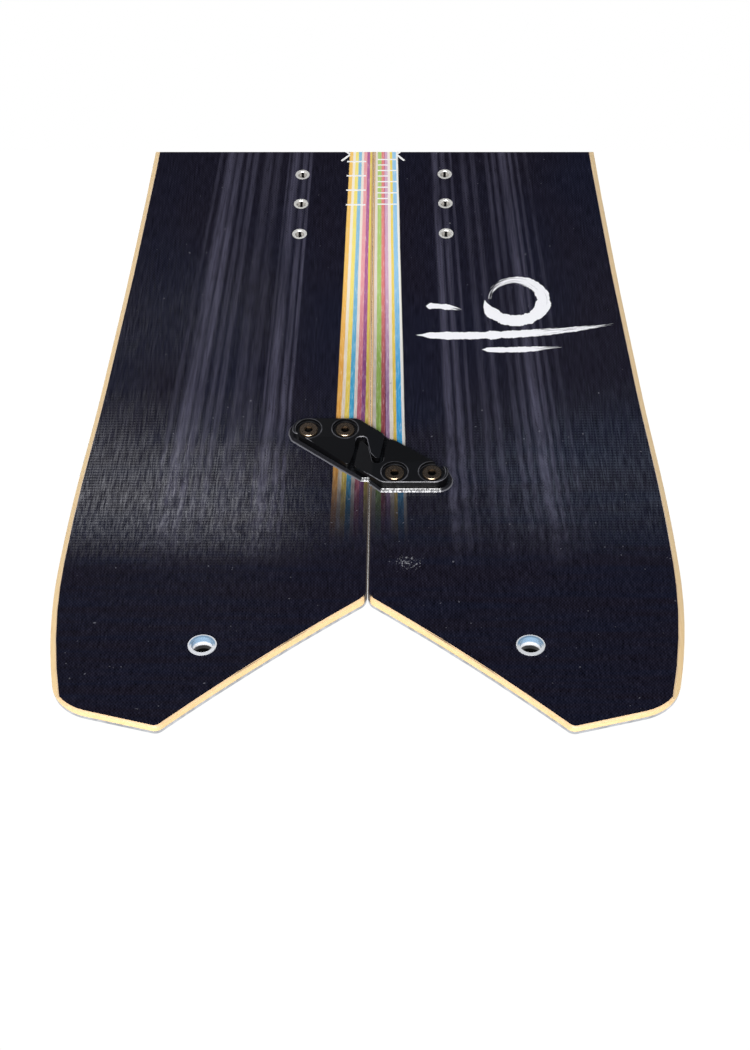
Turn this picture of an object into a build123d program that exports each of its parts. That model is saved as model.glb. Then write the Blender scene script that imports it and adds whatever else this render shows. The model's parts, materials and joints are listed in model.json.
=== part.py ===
from build123d import *
from math import asin, cos, radians, sin, sqrt
import os

# Splitboard: a snowboard that parts lengthwise into two touring skis.
# Millimetres. Z is up, Y runs lengthwise with the nose at +Y, and X runs across.
# The origin lies on the seam at mid-length, on the plane of the running base.

os.makedirs("parts", exist_ok=True)

# ---- driving dimensions ----
LENGTH = 1590.0  # nose tip to tail tips, measured along the ground
WAIST_HALF = 125.3  # half-width of the base at the waist
WAIST_Y = -65.0  # the narrowest place
TAIL_SIDECUT_R = 6172.0
NOSE_SIDECUT_R = 6800.0
SEAM_HALF_GAP = 0.2  # each half stands this far back from the seam plane

THICKNESS = 8.0  # over the running base
TAIL_TIP_THICKNESS = 6.2
NOSE_TIP_THICKNESS = 6.4
TAIL_KICK_Y = -568.0  # the upturned tail starts here
TAIL_KICK_R = 800.0  # radius of the top surface in the tail
NOSE_KICK_Y = 570.0
NOSE_KICK_R = 460.0

BASE_THICK = 1.4  # running base
LAMINATE_THICK = 0.6  # glass laminate, above and below the core
TOPSHEET_THICK = 0.5
EDGE_HEIGHT = 2.0  # steel edge: base plus lower laminate
EDGE_WIDTH = 2.2
SIDEWALL_WIDTH = 10.0
BEVEL_SLOPE = 0.7  # sidewalls lean in this much for each unit of height
BEVEL_START = 2.1  # height above the base where the sidewall bevel starts
RIM_CHAMFER = 0.9  # small bevel along the top of the tail and the swallow-tail notch

# plan outline of the tail (right half, base edge)
SIDECUT_END_Y = -605.0
TAIL_WIDE = (152.5, -688.0)  # the widest place
TAIL_CORNER = (139.4, -781.2)  # outer corner before rounding
TAIL_TIP = (91.8, -795.0)  # tip of the swallow tail before rounding
NOTCH_MIDDLE = (38.0, -742.2)  # the notch edge is a shallow arc
NOTCH_TOP_Y = -710.8  # where the notch meets the seam before rounding
TAIL_CORNER_R = 26.0
TAIL_TIP_R = 4.0
NOTCH_TOP_R = 8.0

# plan outline of the nose
NOSE_WIDE_Y = 585.0
NOSE_TIP_R = 130.0
NOSE_SEAM_R = 6.0

# binding inserts: one column of threaded inserts in each half, front and rear
COLUMN_X = 42.3
ROW_PITCH = 25.4
ROWS = 6
REAR_ROW_Y = -446.8  # rearmost row
FRONT_ROW_Y = 133.2
INSERT_R = 4.2
THREAD_R = 2.5
FLANGE_R = 8.0
FLANGE_THICK = 1.0

# touring bracket and heel riser inserts, on the centre line of each ski
SKI_CENTRE_X = 66.0
BRACKET_Y = -10.0
BRACKET_SPACING = (30.0, 40.0)
RISER_Y = -262.0
RISER_SPACING = (30.0, 25.0)

# eyelets through the tail and the nose
TAIL_EYELET = (76.3, -743.0)
NOSE_EYELET = (64.0, 705.0)
EYELET_BORE_R = 5.1
EYELET_TUBE_R = 5.9
EYELET_RIM_R = 6.75
EYELET_RIM_THICK = 0.5

# hooks: each pair lies in its own plane, and the tail pair's rises towards the tail
TAIL_HOOK_Y = -614.7
TAIL_HOOK_TILT = 3.4  # degrees, following the board's own rise there
NOSE_HOOK_Y = 500.0
NOSE_HOOK_TILT = 0.0
PAD_HEIGHT = 1.7
PAD_TAPER = 50.0  # degrees from upright
PAD_DEPTH = 3.5  # how far the pad blank reaches down before the board is cut away
HOOK_THICK = 4.0
FINGER_GAP = 1.2  # under the finger, over the other half's pad
WING_CREASE_Y = 9.0
WING_SLOPE = 4.7  # degrees
FINGER_CREASE_X = -1.5
FINGER_SLOPE = 3.6  # degrees
HOOK_EDGE = 0.35
SCREW_POINTS = [(-32.0, 15.25), (-12.9, 15.25)]
SCREW_R = 3.0
SCREW_FIT = 0.05
HEAD_R = 4.8
HEAD_THICK = 1.4
SOCKET_R = 2.3
SOCKET_DEPTH = 1.0
COUNTERBORE_R = 6.7
COUNTERBORE_DEPTH = 2.0
HEAD_EDGE = 0.3
THREAD_CHAMFER = 0.4
EYELET_FLANGE_SHARE = 0.16  # base flange thickness against the eyelet's rim diameter
FINGER_ROOT = 0.6  # the gap under the finger starts this far inside the hook's own half
WING_INNER_X = -6.0
HOOK_INSERT_R = 5.0
HOOK_INSERT_DEPTH = 5.0  # below the topsheet
SCREW_REACH = 4.4  # below the topsheet

# a hook's outline about its pair's centre, anticlockwise: corner and its rounding
HOOK_OUTLINE = [
    ((-40.3, 11.9), 2.6),
    ((-36.9, 11.4), 1.5),
    ((-10.6, -9.7), 1.6),
    ((-8.2, -1.5), 12.0),
    ((-7.0, 9.2), 2.6),
    ((-1.72, 9.2), 2.2),
    ((0.62, -2.2), 1.5),
    ((3.2, -5.6), 0.7),
    ((5.0, -5.9), 0.8),
    ((7.9, 10.9), 2.6),
    ((-6.5, 22.6), 6.0),
    ((-40.3, 22.6), 7.4),
]
# the pad's foot, taken across the seam and then cut off there
PAD_FOOT = [
    (12.0, 8.0),
    (-5.3, 25.4),
    (-43.0, 25.4),
    (-43.0, 15.5),
    (-41.2, 11.0),
    (-4.4, -17.9),
    (12.0, -17.9),
]
PAD_ROUNDING = {1: 3.0, 2: 8.0, 4: 4.0, 5: 3.0}

SIGN = {"left": -1, "right": 1}
ENDS = ("tail", "nose")

# clearances for cutting blocks that reach past the whole board
END_MARGIN = 7.0
WIDE = 175.0
HIGH = 90.0

# where layers and edge rings are cut, the layers at the two kicks: name, range of |x|, range of y
INNER_X = 30.0
STEEL_BUTT_X = 11.0  # the inner steel edge meets the outer one just round each end of the seam
SIDEWALL_WINDOWS = [
    ("outer_sidewall", (INNER_X, WIDE), (TAIL_KICK_Y, NOSE_KICK_Y)),
    ("inner_sidewall", (0.0, INNER_X), (TAIL_KICK_Y, NOSE_KICK_Y)),
]
EDGE_WINDOWS = [
    ("outer_steel_edge", (STEEL_BUTT_X, WIDE), (-LENGTH, LENGTH)),
    ("inner_steel_edge", (0.0, STEEL_BUTT_X), (-LENGTH, LENGTH)),
]
TAIL_WINDOW = (0.0, WIDE), (-LENGTH, TAIL_KICK_Y)
MIDDLE_WINDOW = (0.0, WIDE), (TAIL_KICK_Y, NOSE_KICK_Y)
NOSE_WINDOW = (0.0, WIDE), (NOSE_KICK_Y, LENGTH)

# ---- worked out from those ----
TAIL_END_Y = -LENGTH / 2
NOSE_END_Y = LENGTH / 2


def base_kick_radius(top_radius, tip_thickness, run):
    """Base radius of a kick that thins the board to its tip thickness over its run."""
    return 1 / (1 / top_radius + 2 * (THICKNESS - tip_thickness) / run**2)


TAIL_BASE_R = base_kick_radius(TAIL_KICK_R, TAIL_TIP_THICKNESS, TAIL_KICK_Y - TAIL_END_Y)
NOSE_BASE_R = base_kick_radius(NOSE_KICK_R, NOSE_TIP_THICKNESS, NOSE_END_Y - NOSE_KICK_Y)


def above_base(height):
    """A surface at this height over the base: flat height, tail radius, nose radius."""
    return height, TAIL_BASE_R - height, NOSE_BASE_R - height


def below_top(depth):
    """A surface at this depth under the top, in the same terms."""
    return THICKNESS - depth, TAIL_KICK_R + depth, NOSE_KICK_R + depth


def kick_rise(radius, run):
    """How far an arc that starts level has risen after this run."""
    return radius - sqrt(radius**2 - run**2)


def top_height(y):
    """Height of the top surface at y."""
    if y < TAIL_KICK_Y:
        return THICKNESS + kick_rise(TAIL_KICK_R, TAIL_KICK_Y - y)
    if y > NOSE_KICK_Y:
        return THICKNESS + kick_rise(NOSE_KICK_R, y - NOSE_KICK_Y)
    return THICKNESS


def board_layer(low, high):
    """A full-width slab between two surfaces, following the kicks of nose and tail."""
    tail_y = TAIL_END_Y - END_MARGIN
    nose_y = NOSE_END_Y + END_MARGIN
    low_tail = (tail_y, low[0] + kick_rise(low[1], TAIL_KICK_Y - tail_y))
    high_tail = (tail_y, high[0] + kick_rise(high[1], TAIL_KICK_Y - tail_y))
    low_nose = (nose_y, low[0] + kick_rise(low[2], nose_y - NOSE_KICK_Y))
    high_nose = (nose_y, high[0] + kick_rise(high[2], nose_y - NOSE_KICK_Y))
    with BuildPart() as layer:
        with BuildSketch(Plane.YZ):
            with BuildLine():
                Line((NOSE_KICK_Y, low[0]), (TAIL_KICK_Y, low[0]))
                TangentArc([(TAIL_KICK_Y, low[0]), low_tail], tangent=(-1, 0))
                Line(low_tail, high_tail)
                TangentArc([(TAIL_KICK_Y, high[0]), high_tail], tangent=(-1, 0))
                Line((TAIL_KICK_Y, high[0]), (NOSE_KICK_Y, high[0]))
                TangentArc([(NOSE_KICK_Y, high[0]), high_nose], tangent=(1, 0))
                Line(high_nose, low_nose)
                TangentArc([(NOSE_KICK_Y, low[0]), low_nose], tangent=(1, 0))
            make_face()
        extrude(amount=WIDE, both=True)
    return layer.part


def sidecut_x(y):
    """Half-width of the base at y, between the widest places of tail and nose."""
    radius = TAIL_SIDECUT_R if y < WAIST_Y else NOSE_SIDECUT_R
    return WAIST_HALF + kick_rise(radius, abs(y - WAIST_Y))


def half_outline():
    """Plan outline of the right half at its base, and the arcs of its outer side."""
    tail_kick = (sidecut_x(TAIL_KICK_Y), TAIL_KICK_Y)
    tail_cut = (sidecut_x(SIDECUT_END_Y), SIDECUT_END_Y)
    nose_wide = (sidecut_x(NOSE_WIDE_Y), NOSE_WIDE_Y)
    nose_kick = (sidecut_x(NOSE_KICK_Y), NOSE_KICK_Y)
    tip_centre = Vector(0, NOSE_END_Y - NOSE_TIP_R)
    lift = tip_centre.Y - NOSE_WIDE_Y
    shoulder_r = (nose_wide[0] ** 2 + lift**2 - NOSE_TIP_R**2) / (2 * (nose_wide[0] - NOSE_TIP_R))
    shoulder_centre = Vector(nose_wide[0] - shoulder_r, NOSE_WIDE_Y)
    shoulder_end = tip_centre + (tip_centre - shoulder_centre).normalized() * NOSE_TIP_R
    notch_top = (SEAM_HALF_GAP, NOTCH_TOP_Y)
    nose_top = (SEAM_HALF_GAP, NOSE_END_Y)
    with BuildSketch() as outline:
        with BuildLine():
            mid_tail = TangentArc([(WAIST_HALF, WAIST_Y), tail_kick], tangent=(0, -1))
            low_tail = TangentArc([tail_kick, tail_cut], tangent=mid_tail % 1)
            widening = TangentArc([tail_cut, TAIL_WIDE], tangent=low_tail % 1)
            narrowing = TangentArc([TAIL_WIDE, TAIL_CORNER], tangent=widening % 1)
            Line(TAIL_CORNER, TAIL_TIP)
            ThreePointArc(TAIL_TIP, NOTCH_MIDDLE, notch_top)
            Line(notch_top, nose_top)
            mid_nose = TangentArc([(WAIST_HALF, WAIST_Y), nose_kick], tangent=(0, 1))
            low_nose = TangentArc([nose_kick, nose_wide], tangent=mid_nose % 1)
            shoulder = TangentArc([nose_wide, shoulder_end], tangent=low_nose % 1)
            tip = TangentArc([shoulder_end, nose_top], tangent=shoulder % 1)
        make_face()
        fillet(outline.vertices().sort_by_distance(TAIL_CORNER)[0], TAIL_CORNER_R)
        fillet(outline.vertices().sort_by_distance(TAIL_TIP)[0], TAIL_TIP_R)
        fillet(outline.vertices().sort_by_distance(notch_top)[0], NOTCH_TOP_R)
        fillet(outline.vertices().sort_by_distance(nose_top)[0], NOSE_SEAM_R)
    side = [tip, shoulder, low_nose, mid_nose, mid_tail, low_tail, widening, narrowing]
    return outline.sketch, side


def base_height(y):
    """Height of the base surface at y."""
    if y < TAIL_KICK_Y:
        return kick_rise(TAIL_BASE_R, TAIL_KICK_Y - y)
    if y > NOSE_KICK_Y:
        return kick_rise(NOSE_BASE_R, y - NOSE_KICK_Y)
    return 0.0


def bevel_point(point):
    """Where the bevel's slanting face, carried down to z = 0, meets the ground plan."""
    return point.X + BEVEL_SLOPE * (base_height(point.Y) + BEVEL_START), point.Y


def make_bevel_prism(side):
    """Everything inside the slanting outer face of the right half."""
    drop = 5.0
    far = NOSE_END_Y + 2 * END_MARGIN
    foot = Plane(origin=(BEVEL_SLOPE * drop, 0, -drop))
    nose = bevel_point(side[0] @ 1)
    tail = bevel_point(side[-1] @ 1)
    with BuildPart() as prism:
        with BuildSketch(foot):
            with BuildLine():
                for arc in side:
                    ThreePointArc(*[bevel_point(arc @ t) for t in (0, 0.5, 1)])
                Polyline(nose, (nose[0], far), (-WIDE, far), (-WIDE, -far), (tail[0], -far), tail)
            make_face()
        extrude(amount=2 * HIGH, dir=(-BEVEL_SLOPE, 0, 1))
    return prism.part


def is_rim_edge(edge):
    """Whether an edge runs along the top of the swallow tail, off the outer side."""
    middle = edge @ 0.5
    on_top = all(abs(p.Z - top_height(p.Y)) < 0.01 for p in (edge @ 0, middle, edge @ 1))
    in_tail = middle.Y < NOTCH_TOP_Y + NOTCH_TOP_R
    return on_top and in_tail and SEAM_HALF_GAP < middle.X < TAIL_CORNER[0] - TAIL_CORNER_R


def make_half_blank(outline, side):
    """The right half as one solid, before it is divided into its layers."""
    with BuildPart() as blank:
        with BuildSketch(Plane.XY.offset(-1)):
            add(outline)
        extrude(amount=HIGH)
        add(board_layer(above_base(0), below_top(0)), mode=Mode.INTERSECT)
        add(make_bevel_prism(side), mode=Mode.INTERSECT)
        chamfer(blank.edges().filter_by(is_rim_edge), RIM_CHAMFER)
    return blank.part


def surface_plane(x, y):
    """A plane on the top surface at (x, y), square to it."""
    lean = 0.0
    if y < TAIL_KICK_Y:
        lean = asin((TAIL_KICK_Y - y) / TAIL_KICK_R)
    if y > NOSE_KICK_Y:
        lean = -asin((y - NOSE_KICK_Y) / NOSE_KICK_R)
    return Plane(origin=(x, y, top_height(y)), x_dir=(1, 0, 0), z_dir=(0, sin(lean), cos(lean)))


def hook_plane(side, end):
    """The plane on which a hook sits. The right hook is the left one turned half a turn."""
    y, tilt = (TAIL_HOOK_Y, TAIL_HOOK_TILT) if end == "tail" else (NOSE_HOOK_Y, NOSE_HOOK_TILT)
    normal = (0, sin(radians(tilt)), cos(radians(tilt)))
    across = (1, 0, 0) if side == "left" else (-1, 0, 0)
    return Plane(origin=(0, y, top_height(y) + PAD_HEIGHT), x_dir=across, z_dir=normal)


def column_points(x, first_y):
    """One column of binding inserts."""
    return [(x, first_y + ROW_PITCH * row) for row in range(ROWS)]


def rectangle_points(x, y, spacing):
    """The four corners of a hole pattern."""
    return [(x + i * spacing[0] / 2, y + j * spacing[1] / 2) for i in (-1, 1) for j in (-1, 1)]


def insert_groups(side):
    """Every upright threaded insert of one half, by node name."""
    x = SIGN[side]
    return {
        "rear_binding_inserts": column_points(x * COLUMN_X, REAR_ROW_Y),
        "front_binding_inserts": column_points(x * COLUMN_X, FRONT_ROW_Y),
        "touring_bracket_inserts": rectangle_points(x * SKI_CENTRE_X, BRACKET_Y, BRACKET_SPACING),
        "heel_riser_inserts": rectangle_points(x * SKI_CENTRE_X, RISER_Y, RISER_SPACING),
    }


def eyelet_plane(side, end):
    """The plane on the top surface that an eyelet's rim lies on."""
    x, y = TAIL_EYELET if end == "tail" else NOSE_EYELET
    return surface_plane(SIGN[side] * x, y)


def make_inserts(points):
    """Threaded inserts: a flange glued under the core and a barrel that ends flush with the top."""
    with BuildPart() as inserts:
        with BuildSketch(Plane.XY.offset(EDGE_HEIGHT)):
            with Locations(*points):
                Circle(FLANGE_R)
        extrude(amount=FLANGE_THICK)
        with BuildSketch(Plane.XY.offset(EDGE_HEIGHT)):
            with Locations(*points):
                Circle(INSERT_R)
        extrude(amount=THICKNESS - EDGE_HEIGHT)
        with BuildSketch(Plane.XY.offset(THICKNESS)):
            with Locations(*points):
                Circle(THREAD_R)
        extrude(amount=-(THICKNESS - EDGE_HEIGHT - FLANGE_THICK), mode=Mode.SUBTRACT)
        top_rims = inserts.faces().filter_by(Plane.XY).group_by(Axis.Z)[-1].edges()
        chamfer(top_rims.filter_by(lambda edge: edge.radius < INSERT_R - 1), THREAD_CHAMFER)
    return inserts.part


def make_hook_inserts(plane):
    """The two threaded inserts that a hook's screws go into."""
    top = plane.offset(-PAD_HEIGHT)
    bottom = plane.offset(-PAD_HEIGHT - HOOK_INSERT_DEPTH)
    with BuildPart() as inserts:
        with BuildSketch(bottom):
            with Locations(*SCREW_POINTS):
                Circle(FLANGE_R)
        extrude(amount=FLANGE_THICK)
        with BuildSketch(bottom):
            with Locations(*SCREW_POINTS):
                Circle(HOOK_INSERT_R)
        extrude(amount=HOOK_INSERT_DEPTH)
        with BuildSketch(top):
            with Locations(*SCREW_POINTS):
                Circle(SCREW_R + SCREW_FIT)
        extrude(amount=-SCREW_REACH - SCREW_FIT, mode=Mode.SUBTRACT)
    return inserts.part


def make_eyelet(plane, bored=True):
    """A metal eyelet: a tube through the board, a rim on top and a flush flange in the base."""
    reach = 2 * THICKNESS
    with BuildPart() as eyelet:
        with BuildSketch(plane.offset(EYELET_RIM_THICK)):
            Circle(EYELET_TUBE_R)
        extrude(amount=-reach)
        with BuildSketch(plane.offset(-reach)):
            Circle(EYELET_RIM_R)
        extrude(amount=reach - THICKNESS + 2 * EYELET_RIM_R * EYELET_FLANGE_SHARE)
        with BuildSketch(plane):
            Circle(EYELET_RIM_R)
        extrude(amount=EYELET_RIM_THICK)
        add(board_layer(above_base(0), below_top(-2 * EYELET_RIM_THICK)), mode=Mode.INTERSECT)
        if bored:
            with BuildSketch(plane.offset(reach)):
                Circle(EYELET_BORE_R)
            extrude(amount=-2 * reach, mode=Mode.SUBTRACT)
    return eyelet.part


def make_hardware_space(side):
    """The room that inserts and eyelets take up inside one half."""
    with BuildPart() as space:
        for points in insert_groups(side).values():
            with BuildSketch(Plane.XY.offset(EDGE_HEIGHT)):
                with Locations(*points):
                    Circle(FLANGE_R)
            extrude(amount=FLANGE_THICK)
            with BuildSketch(Plane.XY.offset(EDGE_HEIGHT)):
                with Locations(*points):
                    Circle(INSERT_R)
            extrude(amount=THICKNESS)
        for end in ENDS:
            plane = hook_plane(side, end)
            with BuildSketch(plane.offset(-PAD_HEIGHT - HOOK_INSERT_DEPTH)):
                with Locations(*SCREW_POINTS):
                    Circle(FLANGE_R)
            extrude(amount=FLANGE_THICK)
            with BuildSketch(plane.offset(-PAD_HEIGHT - HOOK_INSERT_DEPTH)):
                with Locations(*SCREW_POINTS):
                    Circle(HOOK_INSERT_R)
            extrude(amount=HOOK_INSERT_DEPTH + PAD_HEIGHT)
            add(make_eyelet(eyelet_plane(side, end), bored=False))
    return space.part


def make_skin(side, low, high, within=()):
    """One layer of a half, such as its topsheet, kept within the given blocks."""
    with BuildPart() as skin:
        add(BLANK[side])
        add(board_layer(low, high), mode=Mode.INTERSECT)
        for block in within:
            add(block, mode=Mode.INTERSECT)
        add(SPACE[side], mode=Mode.SUBTRACT)
    return skin.part


def make_ring(side, low, high, inset, window):
    """The part of a layer between the outline and an inset, within a plan window."""
    with BuildPart() as ring:
        add(BLANK[side])
        add(board_layer(low, high), mode=Mode.INTERSECT)
        add(inset, mode=Mode.SUBTRACT)
        add(window, mode=Mode.INTERSECT)
        add(SPACE[side], mode=Mode.SUBTRACT)
    return ring.part


def make_window(side, x_range, y_range):
    """An upright block over a rectangle of the ground plan, for cutting a layer into lengths."""
    with BuildPart() as window:
        with BuildSketch(Plane.XY.offset(-1)):
            x_middle = SIGN[side] * sum(x_range) / 2
            with Locations((x_middle, sum(y_range) / 2)):
                Rectangle(x_range[1] - x_range[0], y_range[1] - y_range[0])
        extrude(amount=HIGH)
    return window.part


def make_inset_prism(outline, inset, side):
    """An upright prism on the outline, moved in by the inset."""
    with BuildPart() as prism:
        with BuildSketch(Plane.XY.offset(-1)):
            add(outline)
            offset(amount=-inset)
            if side == "left":
                mirror(about=Plane.YZ, mode=Mode.REPLACE)
        extrude(amount=HIGH)
    return prism.part


def make_pad(side, end):
    """The raised pad that a hook sits on, cut to the board's own top surface."""
    plane = hook_plane(side, end)
    foot = plane.offset(-PAD_HEIGHT)
    with BuildPart() as pad:
        with BuildSketch(foot) as shape:
            with BuildLine():
                Polyline(*PAD_FOOT, close=True)
            make_face()
            for corner, radius in PAD_ROUNDING.items():
                nearest = shape.vertices().sort_by_distance(PAD_FOOT[corner])[0]
                fillet(nearest, radius)
        extrude(amount=PAD_HEIGHT, taper=PAD_TAPER)
        extrude(shape.sketch, amount=-PAD_DEPTH)
        with BuildSketch(plane.offset(-HIGH)):
            with Locations((HIGH - SEAM_HALF_GAP, 0)):
                Rectangle(2 * HIGH, 4 * HIGH)
        extrude(amount=2 * HIGH, mode=Mode.SUBTRACT)
        add(board_layer(above_base(-HIGH), below_top(0)), mode=Mode.SUBTRACT)
        with BuildSketch(plane):
            with Locations(*SCREW_POINTS):
                Circle(SCREW_R + SCREW_FIT)
        extrude(amount=-HIGH, mode=Mode.SUBTRACT)
    return pad.part


def make_hook(side, end):
    """An interlocking hook: a screwed bar, a sloping wing and a finger over the other half."""
    plane = hook_plane(side, end)
    top = plane.offset(HOOK_THICK)
    crease = plane.location * Location((0, WING_CREASE_Y, HOOK_THICK))
    wing_plane = Plane(crease * Location((0, 0, 0), (WING_SLOPE, 0, 0)))
    facet = plane.location * Location((FINGER_CREASE_X, 0, HOOK_THICK))
    finger_plane = Plane(facet * Location((0, 0, 0), (0, FINGER_SLOPE, 0)))
    with BuildPart() as hook:
        with BuildSketch(plane):
            with BuildLine():
                points = [point for point, radius in HOOK_OUTLINE]
                FilletPolyline(*points, radius=[radius for point, radius in HOOK_OUTLINE], close=True)
            make_face()
        extrude(amount=HOOK_THICK)
        top_face = hook.faces().filter_by(lambda face: face.normal_at().dot(plane.z_dir) > 0.9)
        chamfer(top_face.edges(), HOOK_EDGE)
        with BuildSketch(wing_plane):
            with Locations((WING_INNER_X - HIGH / 2, -HIGH / 2)):
                Rectangle(HIGH, HIGH)
        extrude(amount=HOOK_THICK, mode=Mode.SUBTRACT)
        with BuildSketch(finger_plane):
            with Locations((HIGH / 2, 0)):
                Rectangle(HIGH, HIGH)
        extrude(amount=HOOK_THICK, mode=Mode.SUBTRACT)
        with BuildSketch(plane):
            with Locations((HIGH / 2 - FINGER_ROOT, 0)):
                Rectangle(HIGH, HIGH)
        extrude(amount=FINGER_GAP, mode=Mode.SUBTRACT)
        with BuildSketch(top):
            with Locations(*SCREW_POINTS):
                Circle(COUNTERBORE_R)
        extrude(amount=-COUNTERBORE_DEPTH, mode=Mode.SUBTRACT)
        with BuildSketch(top):
            with Locations(*SCREW_POINTS):
                Circle(SCREW_R + SCREW_FIT)
        extrude(amount=-HOOK_THICK, mode=Mode.SUBTRACT)
    return hook.part


def make_screws(side, end):
    """The two hex-socket screws that hold a hook."""
    plane = hook_plane(side, end)
    seat = plane.offset(HOOK_THICK - COUNTERBORE_DEPTH)
    with BuildPart() as screws:
        with BuildSketch(seat):
            with Locations(*SCREW_POINTS):
                Circle(HEAD_R)
        extrude(amount=HEAD_THICK)
        heads = screws.faces().filter_by(lambda face: face.normal_at().dot(plane.z_dir) > 0.9)
        chamfer(heads.edges(), HEAD_EDGE)
        with BuildSketch(seat.offset(HEAD_THICK)):
            with Locations(*SCREW_POINTS):
                RegularPolygon(SOCKET_R, 6)
        extrude(amount=-SOCKET_DEPTH, mode=Mode.SUBTRACT)
        with BuildSketch(seat):
            with Locations(*SCREW_POINTS):
                Circle(SCREW_R)
        extrude(amount=-(HOOK_THICK - COUNTERBORE_DEPTH) - PAD_HEIGHT - SCREW_REACH)
    return screws.part


def finish(part, name):
    """Name a piece and write it."""
    part.label = name
    export_step(part, f"parts/{name}.step")


OUTLINE, OUTER_SIDE = half_outline()
RIGHT_BLANK = make_half_blank(OUTLINE, OUTER_SIDE)
BLANK = {"right": RIGHT_BLANK, "left": RIGHT_BLANK.mirror(Plane.YZ)}
SPACE = {side: make_hardware_space(side) for side in SIGN}

for side in SIGN:
    within_edge = make_inset_prism(OUTLINE, EDGE_WIDTH, side)
    within_sidewall = make_inset_prism(OUTLINE, SIDEWALL_WIDTH, side)
    topsheet_top = below_top(0)
    topsheet_low = below_top(TOPSHEET_THICK)
    core_top = below_top(TOPSHEET_THICK + LAMINATE_THICK)
    core_low = above_base(EDGE_HEIGHT)
    laminate_low = above_base(BASE_THICK)
    ground = above_base(0)

    finish(make_skin(side, topsheet_low, topsheet_top), f"{side}_topsheet")
    finish(make_skin(side, core_top, topsheet_low), f"{side}_upper_laminate")
    finish(make_skin(side, laminate_low, core_low, [within_edge]), f"{side}_lower_laminate")

    tail = make_window(side, *TAIL_WINDOW)
    middle = make_window(side, *MIDDLE_WINDOW)
    nose = make_window(side, *NOSE_WINDOW)
    finish(make_skin(side, core_low, core_top, [tail]), f"{side}_tail_spacer")
    finish(make_skin(side, core_low, core_top, [within_sidewall, middle]), f"{side}_wood_core")
    finish(make_skin(side, core_low, core_top, [nose]), f"{side}_nose_spacer")
    finish(make_skin(side, ground, laminate_low, [within_edge, tail]), f"{side}_tail_base")
    finish(make_skin(side, ground, laminate_low, [within_edge, middle]), f"{side}_base")
    finish(make_skin(side, ground, laminate_low, [within_edge, nose]), f"{side}_nose_base")

    for name, x_range, y_range in SIDEWALL_WINDOWS:
        window = make_window(side, x_range, y_range)
        wall = make_ring(side, core_low, core_top, within_sidewall, window)
        finish(wall, f"{side}_{name}")
    for name, x_range, y_range in EDGE_WINDOWS:
        window = make_window(side, x_range, y_range)
        edge = make_ring(side, ground, core_low, within_edge, window)
        finish(edge, f"{side}_{name}")

    for name, points in insert_groups(side).items():
        finish(make_inserts(points), f"{side}_{name}")

    for end in ENDS:
        finish(make_eyelet(eyelet_plane(side, end)), f"{side}_{end}_eyelet")
        finish(make_hook_inserts(hook_plane(side, end)), f"{side}_{end}_hook_inserts")
        finish(make_pad(side, end), f"{side}_{end}_hook_pad")
        finish(make_hook(side, end), f"{side}_{end}_hook")
        finish(make_screws(side, end), f"{side}_{end}_hook_screws")
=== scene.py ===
import functools
import json
import math

import bmesh
import bpy
from mathutils import Matrix, Vector


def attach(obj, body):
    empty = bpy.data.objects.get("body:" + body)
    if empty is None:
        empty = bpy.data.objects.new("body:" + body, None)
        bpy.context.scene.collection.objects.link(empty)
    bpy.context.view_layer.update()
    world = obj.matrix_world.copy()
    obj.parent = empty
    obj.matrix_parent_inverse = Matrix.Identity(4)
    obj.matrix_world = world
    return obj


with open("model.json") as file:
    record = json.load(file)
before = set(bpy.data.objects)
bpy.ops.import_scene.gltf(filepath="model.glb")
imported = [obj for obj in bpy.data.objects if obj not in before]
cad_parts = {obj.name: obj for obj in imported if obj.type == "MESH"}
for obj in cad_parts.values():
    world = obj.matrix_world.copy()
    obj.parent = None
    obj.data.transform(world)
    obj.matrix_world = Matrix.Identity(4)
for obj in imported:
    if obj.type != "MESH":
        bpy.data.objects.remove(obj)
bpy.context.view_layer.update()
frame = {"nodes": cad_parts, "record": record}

MM = 0.001

# places and sizes of the part that the materials follow, in mm
FLAT_TOP = 8.0  # height of the top surface between the kicks
TAIL_KICK_Y, TAIL_KICK_R = -568.0, 800.0  # where each kick starts, and its radius
NOSE_KICK_Y, NOSE_KICK_R = 570.0, 460.0
COLUMN_X = 42.3  # the columns of binding inserts, from the seam
HOOK_Y = (-614.7, 500.0)  # the middle of each pair of hooks
SCREW_X = (12.9, 32.0)  # the hook screws, from the seam
SCREW_Y = 15.25  # and from the middle of their pair of hooks
COUNTERBORE_RIM_R = 6.95  # the rim of a hook's counterbore, where a highlight is painted
SOCKET_R = 2.1  # the hex socket of a hook screw
TAIL_EYELET = (76.3, -743.0)  # the right half's eyelets, x and y
NOSE_EYELET = (64.0, 705.0)


# ---- shader nodes ----
def put(tree, value, socket):
    """Gives a socket a fixed value, or links a node's output to it."""
    if isinstance(value, Value):
        tree.links.new(value.socket, socket)
    else:
        socket.default_value = value


def add_node(tree, kind, inputs, output=0, **settings):
    """Adds a node, with inputs by index or name, and returns one of its outputs."""
    node = tree.nodes.new("ShaderNode" + kind)
    for name, setting in settings.items():
        setattr(node, name, setting)
    for key, value in inputs.items():
        put(tree, value, node.inputs[key])
    return Value(tree, node.outputs[output])


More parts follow.
